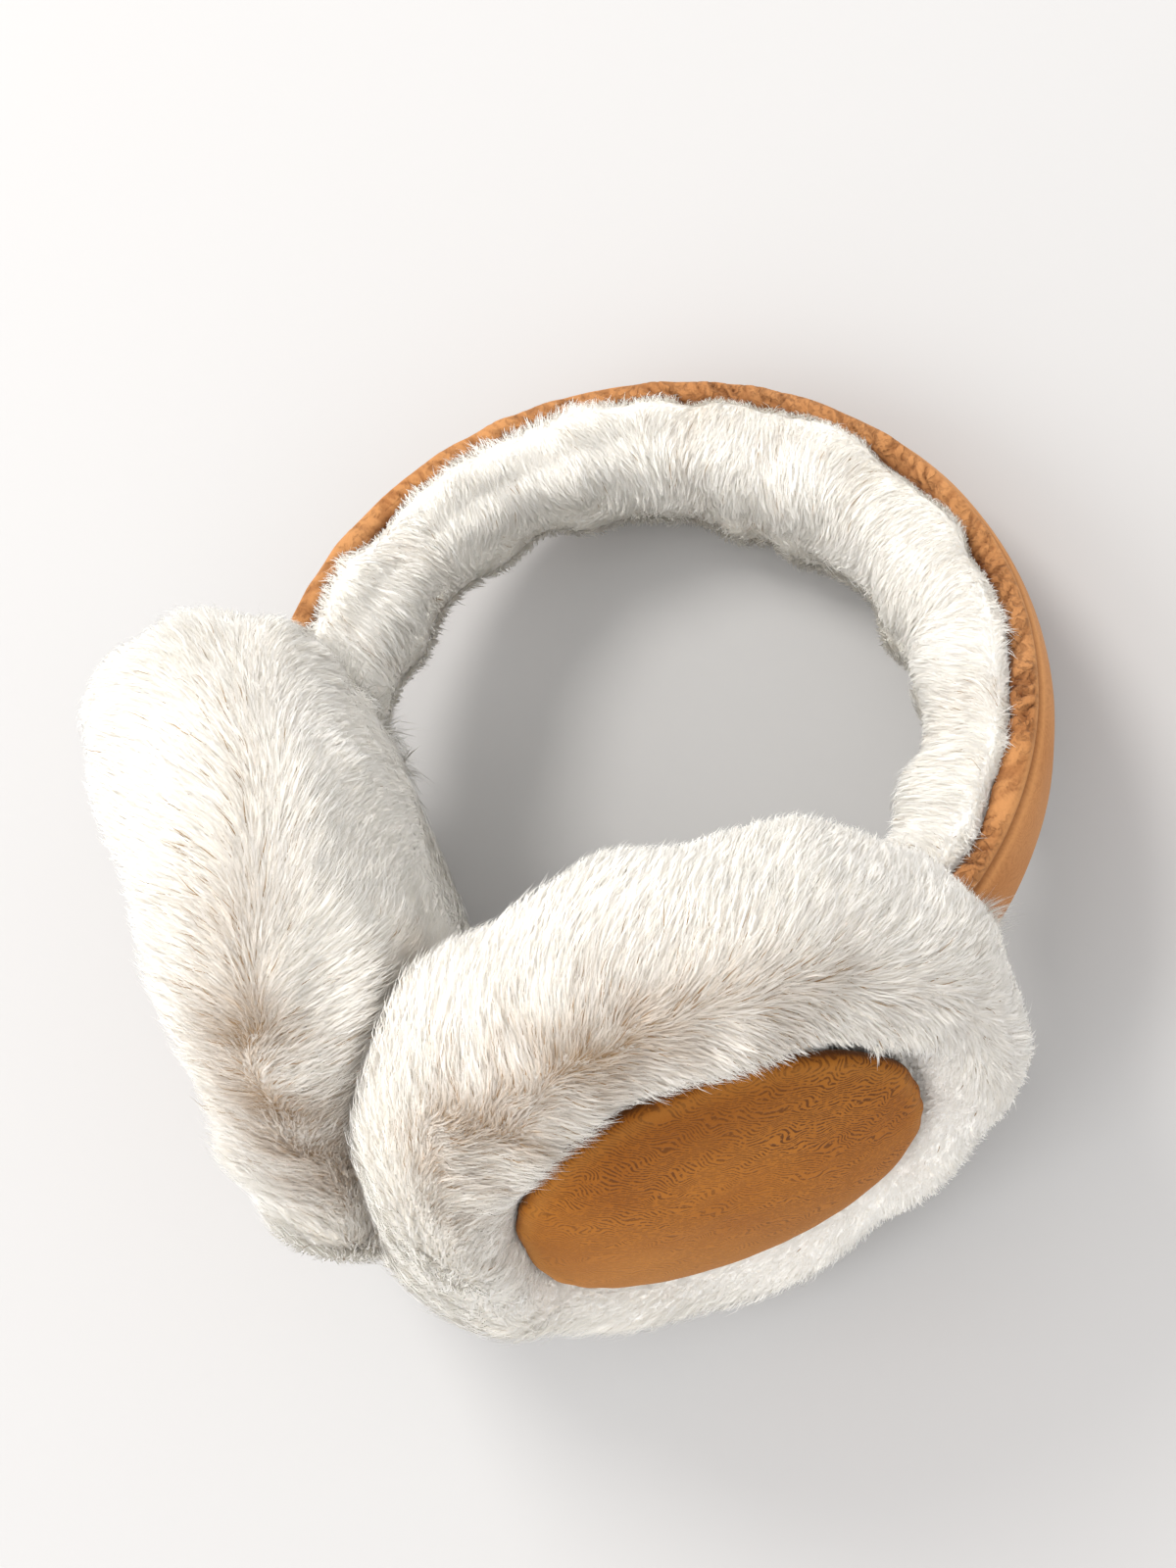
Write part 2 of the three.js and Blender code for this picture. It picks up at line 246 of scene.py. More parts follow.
def suede_nap(n):
    """Short strokes of nap that swirl like a thumbprint, 1 in a stroke and 0 between."""
    wave = n.add("ShaderNodeTexWave", bands_direction="DIAGONAL")
    scale = 2 * math.pi / (20 * NAP_PITCH)
    wave.inputs["Scale"].default_value = scale
    wave.inputs["Distortion"].default_value = NAP_BEND
    wave.inputs["Detail"].default_value = 1.0
    wave.inputs["Detail Scale"].default_value = 1 / (NAP_WHORL * scale)
    n.link(n.place(), wave.inputs["Vector"])
    lines = n.step(wave.outputs["Fac"], 0.42, 0.72)
    short = n.step(n.noise(1 / (1.3 * NAP_PITCH), 2.0), 0.37, 0.52)
    return n.math("MULTIPLY", lines, short)


def suede_material(name, colours, painted_crinkle_shade):
    """Suede: swirling nap over cloudy colour, with a painted highlight, and painted shade in its creases
    and seams.
    """
    pale, mid, dark, worn_pose_and_painted_highlight, painted_shade = colours
    n = Nodes(name)
    brushed = n.ramp(n.noise(BRUSHED_CLOUDS, 3.0), ((0.34, dark), (0.5, mid), (0.68, pale)))
    patchy = n.ramp(n.noise(NAP_PATCHES, 1.0), ((0.34, (0.7, 0.7, 0.7)), (0.6, (1, 1, 1))))
    stroke = n.math("MULTIPLY", n.math("MULTIPLY", suede_nap(n), patchy), n.attribute("nap"))
    fine = n.noise(SUEDE_GRAIN, 2.0)
    grain = n.ramp(fine, ((0.3, (0.66, 0.62, 0.56)), (0.7, (1.12, 1.12, 1.12))))
    # Strokes of nap take the dark colour of the painted shade.
    colour = n.mix(0.35, n.mix(stroke, brushed, painted_shade), grain, "MULTIPLY")
    # Painted highlight where the attribute says.
    colour = n.mix(n.attribute("worn_pose_and_painted_highlight"), colour, worn_pose_and_painted_highlight)
    crinkles = n.step(n.noise(SUEDE_CRINKLES, 4.0, distortion=1.6), 0.5, 0.66)
    crushed = n.math("MULTIPLY", crinkles, n.attribute("roll"))
    # Painted shade in the creases and seams, and in the crinkles of the crushed roll.
    painted_shade_amount = n.math("ADD", n.attribute("painted_shade"), n.math("MULTIPLY", crushed, painted_crinkle_shade))
    colour = n.mix(n.math("MINIMUM", painted_shade_amount, 1.0), colour, painted_shade)
    n.link(colour, n.shader.inputs["Base Color"])
    first = n.bump(n.math("SUBTRACT", 1.0, stroke), 0.4, 0.0003)
    second = n.bump(n.math("SUBTRACT", 1.0, crushed), 0.8, 0.0006, first)
    n.link(n.bump(fine, 0.3, 0.00012, second), n.shader.inputs["Normal"])
    n.surface(Roughness=0.88, Specular_IOR_Level=0.14)
    n.surface(Sheen_Weight=0.08, Sheen_Roughness=0.4, Sheen_Tint=(1.0, 0.8, 0.6, 1))
    return n.material


FUR_TIP = (0.96, 0.945, 0.91)
# The roots' own tone with painted shade of the pile in it, on hair roots and in the underfur's pits.
FUR_ROOT_TONE_AND_SHADE = (0.86, 0.81, 0.72)
# The colour of painted shade deep in the pile, brown as the roots are.
FUR_SHADED = (0.35, 0.225, 0.115)
# Colours of the suede: pale, middle, brushed dark, a painted highlight and painted shade.
PATCH_SUEDE = (
    (0.41, 0.148, 0.018),
    (0.36, 0.124, 0.014),
    (0.3, 0.095, 0.009),
    (0.53, 0.235, 0.052),
    (0.1, 0.03, 0.004),
)
BAND_SUEDE = (
    (0.52, 0.25, 0.1),
    (0.47, 0.215, 0.08),
    (0.42, 0.18, 0.062),
    (0.64, 0.31, 0.115),
    (0.12, 0.036, 0.01),
)


# Meshes from arrays.
def new_object(name, mesh, material):
    obj = bpy.data.objects.new(name, mesh)
    scene.collection.objects.link(obj)
    mesh.materials.clear()
    mesh.materials.append(material)
    return obj


def set_attribute(mesh, name, values):
    mesh.attributes.new(name, "FLOAT", "POINT").data.foreach_set("value", np.asarray(values, np.float32))


def mesh_of(name, points, faces, sizes):
    """A mesh from points, the corners of all faces in a row, and each face's count of corners."""
    mesh = bpy.data.meshes.new(name)
    mesh.vertices.add(len(points))
    mesh.vertices.foreach_set("co", np.asarray(points, np.float32).ravel())
    mesh.loops.add(len(faces))
    mesh.loops.foreach_set("vertex_index", np.asarray(faces, np.int32))
    mesh.polygons.add(len(sizes))
    starts = np.concatenate([[0], np.cumsum(sizes)[:-1]])
    mesh.polygons.foreach_set("loop_start", starts.astype(np.int32))
    mesh.polygons.foreach_set("use_smooth", np.ones(len(sizes), bool))
    mesh.update(calc_edges=True)
    mesh.validate()
    return mesh


def grid_mesh(name, points):
    """A mesh of quads through a grid of points, rows by columns, joined round its columns."""
    rows, columns = points.shape[:2]
    i, k = np.meshgrid(np.arange(rows - 1), np.arange(columns), indexing="ij")
    after = (k + 1) % columns
    low, high = i * columns, (i + 1) * columns
    quads = np.stack([low + k, low + after, high + after, high + k], -1)
    return mesh_of(name, points.reshape(-1, 3), quads.ravel(), np.full(i.size, 4))


# Fur: an underfur that follows the CAD solid, and hairs that grow from it.
# How unlike each other neighbouring hairs are.
FLOW_JITTER = 0.16
LEAN_JITTER = 0.05
SIDE_JITTER = 0.2
LENGTH_RANGE = (0.7, 1.15)
WIDTH_RANGE = (0.7, 1.3)
LEAN_LIMITS = (0.05, 0.98)
# Below this share of its length a hair doesn't grow.
SHORTEST_SHARE = 0.02
# The two values of the beta spread from which each hair's tint is drawn, most of them pale.
TINT_SPREAD = (1.6, 3.0)
# How far a hair gathers towards the leader of its tuft, as a share of the way.
PULL_RANGE = (0.05, 0.42)
# The odds of a hair that is brown to its tip, in the roots' brown and painted shade, anywhere and where the
# roots show.
BROWN_ANYWHERE = 0.002
BROWN_AT_ROOTS = 0.16
BROWN_DEPTH = 1.3
# How much a hair's shading follows its own ribbon, and not the skin.
OWN_SHADING = 0.28


def vertex_arrays(mesh):
    points = np.empty(len(mesh.vertices) * 3, np.float32)
    normals = np.empty(len(mesh.vertices) * 3, np.float32)
    mesh.vertices.foreach_get("co", points)
    mesh.vertex_normals.foreach_get("vector", normals)
    return points.reshape(-1, 3).astype(float), normals.reshape(-1, 3).astype(float)


def underfur(node, voxels, rounds, sculpt):
    """A smooth mesh that follows a CAD node. sculpt(points, normals) says how each point moves."""
    copy = bpy.data.objects.new("copy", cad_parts[node].data.copy())
    scene.collection.objects.link(copy)
    weld = copy.modifiers.new("weld", "WELD")
    weld.merge_threshold = 1e-6
    remesh = copy.modifiers.new("remesh", "REMESH")
    remesh.mode = "VOXEL"
    remesh.voxel_size = voxels[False]
    smooth = copy.modifiers.new("smooth", "SMOOTH")
    smooth.iterations = rounds
    mesh = bpy.data.meshes.new_from_object(copy.evaluated_get(bpy.context.evaluated_depsgraph_get()))
    bpy.data.objects.remove(copy)
    points, normals = vertex_arrays(mesh)
    points = points + sculpt(points, normals)
    points[:, 2] = np.maximum(points[:, 2], UNDERFUR_LOWEST)
    mesh.vertices.foreach_set("co", points.astype(np.float32).ravel())
    mesh.polygons.foreach_set("use_smooth", np.ones(len(mesh.polygons), bool))
    mesh.update()
    return mesh


def scatter(mesh, count):
    """Random places on a mesh, evenly by area, with the normals there."""
    mesh.calc_loop_triangles()
    corners = np.empty(len(mesh.loop_triangles) * 3, np.int32)
    mesh.loop_triangles.foreach_get("vertices", corners)
    corners = corners.reshape(-1, 3)
    points, normals = vertex_arrays(mesh)
    a, b, c = (points[corners[:, j]] for j in range(3))
    area = np.linalg.norm(np.cross(b - a, c - a), axis=1)
    pick = rng.choice(len(corners), count, p=area / area.sum())
    u, v = rng.random((2, count, 1))
    flip = u + v > 1
    u, v = np.where(flip, 1 - u, u), np.where(flip, 1 - v, v)
    chosen = corners[pick]
    at = (1 - u - v) * points[chosen[:, 0]] + u * points[chosen[:, 1]] + v * points[chosen[:, 2]]
    out = (1 - u - v) * normals[chosen[:, 0]] + u * normals[chosen[:, 1]] + v * normals[chosen[:, 2]]
    return at, unit(out)


def wander(points, pitch, seed):
    """Smooth random vectors over space: a few sine waves in random directions, with this pitch."""
    waves = np.random.default_rng(seed)
    total = np.zeros_like(points)
    for _ in range(6):
        direction = unit(waves.normal(size=3)) * 2 * math.pi / (pitch * waves.uniform(0.7, 1.5))
        total += np.sin(points @ direction + waves.uniform(0, 7))[:, None] * waves.normal(size=3)
    return total / 3


def ripple(points, pitch, seed):
    """Smooth random heights over space, with this pitch."""
    return wander(points, pitch, seed)[:, 0]


def grown(at, out, flow, lean, long, stations):
    """The stations of hairs from their roots on: they rise from the skin and bend over along the flow."""
    path = [at]
    for low, high in zip(stations, stations[1:]):
        tilt = lean * (0.6 + 0.4 * (low + high)) * math.pi / 2
        ahead = np.cos(tilt) * out + np.sin(tilt) * flow
        path.append(path[-1] + ahead * (long * (high - low))[:, None])
    return np.stack(path)


def gather(path, stations, clump):
    """Pulls neighbouring hairs towards one of them, more at their tips, as fur gathers in small tufts."""
    at = path[0]
    count = len(at)
    leaders = rng.choice(count, max(count // clump, 1), replace=False)
    tree = KDTree(len(leaders))
    for i, leader in enumerate(leaders):
        tree.insert(at[leader], i)
    tree.balance()
    nearest = leaders[np.array([tree.find(p)[1] for p in at])]
    pull = rng.uniform(*PULL_RANGE, count)[:, None]
    for k, s in enumerate(stations):
        path[k] += pull * s**1.5 * (path[k][nearest] - path[k])


def ribbon_corners(path, side, half):
    """The corners of each ribbon: two at every station of its hair and one at the tip."""
    bends = len(path) - 1
    points = np.empty((path.shape[1], 2 * bends + 1, 3))
    for k in range(bends):
        points[:, 2 * k] = path[k] - side * half
        points[:, 2 * k + 1] = path[k] + side * half
    points[:, -1] = path[-1]
    points[:, :, 2] = np.maximum(points[:, :, 2], HAIR_LOWEST)
    return points


def ribbon_mesh(name, points):
    """Quads and a last triangle for each ribbon, with corners run so that it faces away from the skin."""
    count, corners_each = points.shape[:2]
    bends = corners_each // 2
    quads = [[2 * k, 2 * k + 1, 2 * k + 3, 2 * k + 2] for k in range(bends - 1)]
    tip = [2 * bends - 2, 2 * bends - 1, 2 * bends]
    order = np.array(sum(quads, []) + tip)
    corners = (np.arange(count)[:, None] * corners_each + order).ravel()
    return mesh_of(name, points.reshape(-1, 3), corners, np.tile([4] * (bends - 1) + [3], count))


def hairs(name, mesh, comb, count, length, width, clump, bends):
    """Hairs as thin ribbons of one or more spans.

    comb(at) gives each hair's flow, lean (0 upright, 1 flat), share of the length and depth of colour.
    """
    at, out = scatter(mesh, count)
    flow, lean, share, depth = comb(at)
    grows = share > SHORTEST_SHARE
    at, out, flow, lean, share, depth = (x[grows] for x in (at, out, flow, lean, share, depth))
    count = len(at)
    # Where the roots show, single hairs carry the roots' brown and painted shade to their tips.
    brown = rng.random(count) < BROWN_AT_ROOTS * depth + BROWN_ANYWHERE
    depth = np.where(brown, BROWN_DEPTH, depth)
    flow = unit(flow) + FLOW_JITTER * rng.normal(size=at.shape)
    flow = unit(flow - out * np.sum(flow * out, axis=1, keepdims=True))
    long = length * share * rng.uniform(*LENGTH_RANGE, count)
    lean = np.clip(lean + LEAN_JITTER * rng.normal(size=count), *LEAN_LIMITS)[:, None]
    stations = np.linspace(0, 1, bends + 1)
    path = grown(at, out, flow, lean, long, stations)
    gather(path, stations, clump)
    ahead = unit(path[-1] - path[0])
    side = unit(np.cross(ahead, out + SIDE_JITTER * rng.normal(size=out.shape)))
    half = width * rng.uniform(*WIDTH_RANGE, count)[:, None] / 2
    points = ribbon_corners(path, side, half)
    corners_each = points.shape[1]
    made = ribbon_mesh(name, points)
    along = np.append(np.repeat(stations[:-1], 2), 1.0)
    set_attribute(made, "along", np.tile(along, count))
    set_attribute(made, "tint", np.repeat(rng.beta(*TINT_SPREAD, count), corners_each))
    set_attribute(made, "depth", np.repeat(depth, corners_each))
    # Shading follows the skin more than each thin ribbon, so the pile looks soft.
    own = np.cross(side, ahead)
    own *= np.sign(np.sum(own * out, axis=1, keepdims=True))
    soft = unit((1 - OWN_SHADING) * out + OWN_SHADING * own)
    made.normals_split_custom_set_from_vertices(np.repeat(soft, corners_each, axis=0).tolist())
    return made


CUP_VOXELS = (0.0022, 0.003)
CUP_ROUNDS = 12
LINING_VOXELS = (0.0017, 0.0024)
LINING_ROUNDS = 14
# The down and the longer hair: count, length, width, hairs to a tuft, and spans.
CUP_LAYERS = ((160000, 0.0062, 0.00022, 8, 1), (58000, 0.0078, 0.00016, 12, 2))
LINING_LAYERS = ((110000, 0.004, 0.0002, 8, 1), (32000, 0.0054, 0.00016, 10, 2))


def fur_pieces(base_name, node, base, comb, layers):
    """Adds the underfur in place of a CAD node, and its layers of hair."""
    set_attribute(base, "depth", comb(vertex_arrays(base)[0])[3])
    pieces = [new_object(f"{base_name}_underfur", base, UNDERFUR)]
    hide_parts(node)
    for layer, (count, length, width, clump, bends) in zip(("down", "hair"), layers):
        title = f"{base_name}_{layer}"
        made = hairs(title, base, comb, count, length, width, clump, bends)
        pieces.append(new_object(title, made, FUR))
    for piece in pieces:
        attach(piece, "root")


# Ear cups.
def cup_places(at, side):
    """Where points lie in a cup: up along it, back, and out along its normal, in millimetres."""
    worn_pose_and_painted_highlight = (at - LIFT) @ LAID / MM
    worn_pose_and_painted_highlight = worn_pose_and_painted_highlight * np.array([side, 1, 1]) - CUP_CENTRE
    c, s = math.cos(CUP_TURNED_DOWN), math.sin(CUP_TURNED_DOWN)
    return worn_pose_and_painted_highlight @ np.array([s, 0, c]), worn_pose_and_painted_highlight[:, 1], worn_pose_and_painted_highlight @ np.array([c, 0, -s])


def cup_directions(side):
    c, s = math.cos(CUP_TURNED_DOWN), math.sin(CUP_TURNED_DOWN)
    axes = np.array([[s, 0, c], [0, 1, 0], [c, 0, -s]]) * np.array([side, 1, 1])
    return axes @ LAID.T


def round_cup(up, back):
    """The turn round a cup from its top, and the share of its radius."""
    turn = np.arctan2(back / CUP_HALF_DEPTH, up / CUP_RADIUS)
    return turn, np.hypot(up / CUP_RADIUS, back / CUP_HALF_DEPTH)


# Where the nap of each cup parts, by the turn round the cup from its top: the angle over the rim, with
# 0 at the rim's middle and 90 at the outer face, and how deep the brown roots and painted shade show there.
PARTINGS = {
    "turn": (-180, -156, -133, -120, -108, -93, -74, -50, -20, 10, 45, 90, 140, 180),
    "right": (68, 56, 25, 29, 28, 24, 29, 31, 34, 55, 80, 84, 80, 68),
    "right_roots": (0.0, 0.1, 0.65, 0.85, 0.85, 0.8, 0.55, 0.2, 0.1, 0.0, 0.0, 0.0, 0.0, 0.0),
    "left": (14, 11, 15, 5, -8, -20, -27, -24, -5, 25, 60, 70, 50, 14),
    "left_roots": (0.05, 0.8, 0.85, 0.4, 0.2, 0.15, 0.1, 0.05, 0.0, 0.0, 0.0, 0.0, 0.0, 0.05),
}
# The middle line of the rim, and the recess that holds the patch, as shares of the cup's radius.
RING = 0.55
RECESS = 0.628
# The half widths of a parting and of the band of brown roots and painted shade along it, in millimetres.
PARTING_WIDTH = 7.0
ROOTS_WIDTH = 10.5
# How slowly the nap turns over there, in millimetres, and how much of it runs round the cup.
TURN_OVER = 12.0
TURN_OVER_AT_ROOTS = 7.0
ROUND_FLOW = 0.9
ROUND_FLOW_AT_ROOTS = 0.5
# How flat the nap lies, and how much shorter it is beside the patch.
NAP_LEAN = 0.9
SHORTER = 0.66
# How far round the band the wisps grow, and the underfur keeps the solid's surface, in millimetres.
WISPS_REACH = 3.5
BAND_KEEPS = 6.0
# The wisps end at this height along the cup's normal, in millimetres.
WISPS_TOP = 22.0
# How far the underfur lies below the solid's surface, in millimetres: all over, more above the patch's bare
# edge, and less where the fur covers the edge.
PILE_HEIGHT = 2.0
BARE_SINK = 2.6
COVER_RISE = 2.2
# How far the wall that faces the patch opens from its bare edge or closes over it, in millimetres.
WALL_OPENS = 1.4
WALL_CLOSES = 2.0
# The patch's edge reaches out where it is bare and in where it is covered, by a share of its radius.
PATCH_SPREAD = 0.03
PATCH_DRAWN_IN = 0.055


def bare_sector(turn):
    """Where the patch shows to its very edge, by the turn round the cup: the fur lies low there."""
    return smoothstep(-2.5, -1.9, turn) * smoothstep(-0.05, -0.5, turn)


def covered_sector(turn):
    """Where the fur covers the patch's edge."""
    return bell(np.abs(turn) - math.pi, 0.4)


def beside_patch(share, normal):
    """1 where a cup's face turns down to the patch, and 0 away from it and on the head side."""
    return smoothstep(0.86, 0.7, share) * (normal > 0)


def beside_band(at, reach):
    """1 against the headband where it goes into a cup, fading out over this reach in millimetres."""
    turn, deep, side = arch_places(at)
    away = np.maximum(np.abs(deep - BAND_MIDDLE_DEEP) - BAND_HALF_DEEP, np.abs(side) - BAND_HALF_WIDE)
    past_end = (np.abs(turn) - ARCH_END) * ARCH_HALF_WIDTH
    return smoothstep(reach, 0.5, np.maximum(away, past_end))


def past_parting(at, side, turn, over_rim):
    """How far past its cup's parting a place lies, towards the patch, in millimetres.

    Also how much the brown roots and painted shade show there, and the slow wobble of the nap.
    """
    name = "right" if side > 0 else "left"
    degrees = np.degrees(turn)
    parting = np.radians(np.interp(degrees, PARTINGS["turn"], PARTINGS[name]))
    shown = np.interp(degrees, PARTINGS["turn"], PARTINGS[f"{name}_roots"])
    wobble = ripple(at, 0.03, 40 + side)
    # Where no roots show the nap leaves no ragged line.
    ragged = 2.2 * (0.15 + 0.85 * shown) * ripple(at, 0.009, 50 + side)
    past = (over_rim - parting) * CUP_HALF_THICK + 2 * wobble + ragged
    return past, shown, wobble


def roots_and_painted_shade(at, past, shown):
    """How brown a cup's pile is: brown roots with painted shade along its parting, in blotches, and painted
    shade where the cups meet.
    """
    blotch = 0.5 + 0.5 * np.tanh(1.5 * ripple(at, 0.014, 9))
    # Brown roots with painted shade of the parted pile, in blotches along the parting and darker on its
    # line.
    roots = bell(past - 2, ROOTS_WIDTH) * shown * (0.5 + 0.5 * blotch)
    line = 0.3 * shown * bell(past, 3)
    # Painted shade in the crevice where the cups meet.
    cups_meet_shade = 0.7 * np.exp(-np.abs(at[:, 0]) / 0.0025)
    return np.clip(roots + line + cups_meet_shade, 0, 1.2)


def band_wisps(at, normal):
    """Where wisps lie up over the suede that goes into a cup, and the way they lie."""
    arch_turn = arch_places(at)[0]
    at_band = beside_band(at, WISPS_REACH) * (normal < WISPS_TOP)
    up_band = np.stack([-np.cos(arch_turn), 0 * arch_turn, np.sin(arch_turn)], -1) @ LAID.T
    up_band *= np.sign(arch_turn)[:, None]
    return at_band, up_band + 0.5 * wander(at, 0.006, 12)


def cup_comb(side):
    """The nap of a cup: it parts along a ring and lies down on both sides of it."""
    up_axis, back_axis, out_axis = cup_directions(side)

    def comb(at):
        up, back, normal = cup_places(at, side)
        turn, share = round_cup(up, back)
        outward = unit(np.cos(turn)[:, None] * up_axis + np.sin(turn)[:, None] * back_axis)
        around = unit(-np.sin(turn)[:, None] * up_axis + np.cos(turn)[:, None] * back_axis)
        over_rim = np.arctan2(normal, (share - RING) * CUP_RADIUS)
        past, shown, wobble = past_parting(at, side, turn, over_rim)
        to_patch = out_axis * np.cos(over_rim)[:, None] - outward * np.sin(over_rim)[:, None]
        turn_over = TURN_OVER + (TURN_OVER_AT_ROOTS - TURN_OVER) * shown
        round_flow = ROUND_FLOW + (ROUND_FLOW_AT_ROOTS - ROUND_FLOW) * shown
        flow = to_patch * np.tanh(past / turn_over)[:, None]
        flow += (round_flow + 0.2 * wobble)[:, None] * around
        flow += 0.3 * wander(at, 0.045, 3 + side)
        # It lies over the patch's edge at the lower end.
        beside = beside_patch(share, normal)
        covered = covered_sector(turn)
        flow += (covered * beside)[:, None] * to_patch
        # The nap is shorter along the parting and beside the patch, and none grows under the patch.
        parted = bell(past, PARTING_WIDTH) * (0.1 + 0.9 * shown)
        short = SHORTER - 0.04 * bare_sector(turn) - 0.3 * covered
        under_patch = (share < RECESS - 0.034 * covered) * (normal > 0)
        length = (1 - 0.35 * parted) * (1 - short * beside) * (1 - under_patch)
        at_band, up_band = band_wisps(at, normal)
        flow = flow * (1 - at_band)[:, None] + at_band[:, None] * up_band
        length *= 1 + 0.5 * at_band
        lean = NAP_LEAN - 0.16 * parted + 0.05 * beside - 0.16 * at_band
        return flow, lean, length, roots_and_painted_shade(at, past, shown)

    return comb


def cup_sculpt(side):
    """The underfur lies below the CAD surface by the height of the pile, in soft puffs."""
    up_axis, back_axis, out_axis = cup_directions(side)

    def sculpt(points, normals):
        up, back, normal = cup_places(points, side)
        turn, share = round_cup(up, back)
        beside = beside_patch(share, normal)
        puffs = 0.4 * ripple(points, 0.04, 21 + side) + 0.22 * ripple(points, 0.016, 23 + side)
        puffs = np.clip(puffs, -0.9, 0.9)
        if side < 0:
            # The left cup bulges in lobes at its front corner and is slimmer at its lower end.
            corner = bell(turn + 0.9, 0.55) * smoothstep(-14, 2, normal)
            puffs += corner * (2.6 + 0.8 * np.cos(7 * turn + 0.25 * normal))
            puffs -= 3.2 * bell(turn + 2.45, 0.42) * smoothstep(4, 20, normal)
        # The wall that faces the patch doesn't sink with the pile, but its top does.
        outward = unit(np.cos(turn)[:, None] * up_axis + np.sin(turn)[:, None] * back_axis)
        facing = smoothstep(0.1, 0.7, -np.sum(normals * outward, axis=1))
        wall = facing * (normal > 0) * (share < 0.72)
        bare = bare_sector(turn)
        covered = covered_sector(turn)
        slope = smoothstep(0.95, 0.74, share) * (normal > 0)
        sunk = PILE_HEIGHT + 0.6 * beside + BARE_SINK * bare * slope - COVER_RISE * covered * beside
        sunk *= 1 - beside_band(points, BAND_KEEPS)
        closing = (WALL_CLOSES * covered - WALL_OPENS * bare) * wall
        moved = -sunk * (1 - wall) + closing + puffs * (1 - beside)
        drop = sunk * wall * smoothstep(14.8, 18.0, normal)
        return (moved[:, None] * normals - drop[:, None] * out_axis) * MM

    return sculpt


def cup(side, name):
    base = underfur(f"ear_fur_{name}", CUP_VOXELS, CUP_ROUNDS, cup_sculpt(side))
    fur_pieces(f"cup_{name}", f"ear_fur_{name}", base, cup_comb(side), CUP_LAYERS)


# Headband.
def on_arch(turn, deep, side):
    """Points of the arch in the row frame; turn is counted from its top."""
    x = (ARCH_HALF_WIDTH - deep) * np.sin(turn)
    z = (ARCH_HEIGHT - deep) * np.cos(turn)
    return laid(np.stack([x, side + 0 * x, z], -1))


def arch_places(at):
    worn_pose_and_painted_highlight = (at - LIFT) @ LAID / MM
    turn = np.arctan2(worn_pose_and_painted_highlight[:, 0], worn_pose_and_painted_highlight[:, 2])
    return turn, ARCH_HALF_WIDTH - np.hypot(worn_pose_and_painted_highlight[:, 0], worn_pose_and_painted_highlight[:, 2]), worn_pose_and_painted_highlight[:, 1]


def rim_tufts(at):
    """Uneven tufts along the rims of the lining, 0 between them and 1 at the fullest."""
    return 0.5 + 0.5 * np.tanh(1.4 * ripple(at, 0.011, 6))


# The lining's hair begins below the roll, this far below the arch's face.
LINING_TOP = 8.4


def lining_comb(at):
    """The lining's nap is combed from the rims across to the middle of its inner face."""
    turn, deep, side = arch_places(at)
    inward = np.stack([-np.sin(turn), 0 * turn, -np.cos(turn)], -1) @ LAID.T
    around = np.stack([np.cos(turn), 0 * turn, -np.sin(turn)], -1) @ LAID.T
    across = np.array([0, 1, 0]) @ LAID.T
    middle = smoothstep(12, 24, deep)[:, None]
    flow = inward * (1 - 0.6 * middle) - across * np.sign(side)[:, None] * 0.6 * middle
    flow = flow + 0.25 * around * np.sin(9 * turn + 1)[:, None] + 0.35 * wander(at, 0.025, 5)
    # At the rims the hair stands outwards in uneven tufts and hides the suede's edge.
    at_rim = smoothstep(12.5, 9, deep) * smoothstep(10.5, 12, np.abs(side))
    tufts = rim_tufts(at)
    sideways = across * np.sign(side)[:, None]
    flow = flow * (1 - at_rim)[:, None] + at_rim[:, None] * (0.5 * sideways - 0.8 * inward)
    # Painted shade along the lining's creases.
    depth = np.clip(0.22 * lining_creases(turn, side), 0, 1)
    share = (1 + at_rim * (0.5 * tufts - 0.45)) * (deep > LINING_TOP)
    return flow, NAP_LEAN - 0.06 * at_rim, share, depth


def lining_creases(turn, side):
    """Soft folds across the lining, 1 along the line of each fold."""
    bent = turn + 0.05 * np.sin(5 * turn + 0.3 * side) + 0.004 * side * np.sin(3 * turn + 1)
    folds = 0.5 + 0.5 * np.cos(19 * bent + 1.3 * np.sin(7 * bent))
    small = 0.5 + 0.5 * np.cos(47 * bent + 2 * np.sin(5 * bent) + 0.2 * side)
    strong = 0.35 + 0.65 * (0.5 + 0.5 * np.sin(4.3 * turn + 2)) ** 2
    return (0.7 * folds**8 + 0.3 * small**4) * strong


# How far the pile stands off the solid's surface, in millimetres, by the turn round the arch in degrees.
LINING_SWELL = (
    (-112, 0.2),
    (-94, -0.7),
    (-58, -2.9),
    (-38, -1.5),
    (-18, 1.6),
    (-5, 2.6),
    (20, 2.8),
    (42, 2.6),
    (58, 1.0),
    (90, 0.7),
    (112, 0.2),
)


def lining_sculpt(points, normals):
    turn, deep, side = arch_places(points)
    swell = np.interp(np.degrees(turn), *zip(*LINING_SWELL))
    outer = smoothstep(22, 14, deep)
    folds = -(0.2 + 1.2 * outer) * lining_creases(turn, side) + 0.2 * ripple(points, 0.02, 8)
    # Beside the rolled rims the pile swells in soft scallops.
    rim = smoothstep(8.3, 9.8, deep) * smoothstep(17, 11.5, deep) * smoothstep(6, 9.5, np.abs(side))
    scallops = rim * (1.2 + 2.0 * rim_tufts(points))
    moved = -0.3 + swell * smoothstep(9, 13, deep) + folds * smoothstep(6, 12, deep) + scallops
    return moved[:, None] * normals * MM


def lining():
    base = underfur("headband_lining", LINING_VOXELS, LINING_ROUNDS, lining_sculpt)
    fur_pieces("lining", "headband_lining", base, lining_comb, LINING_LAYERS)


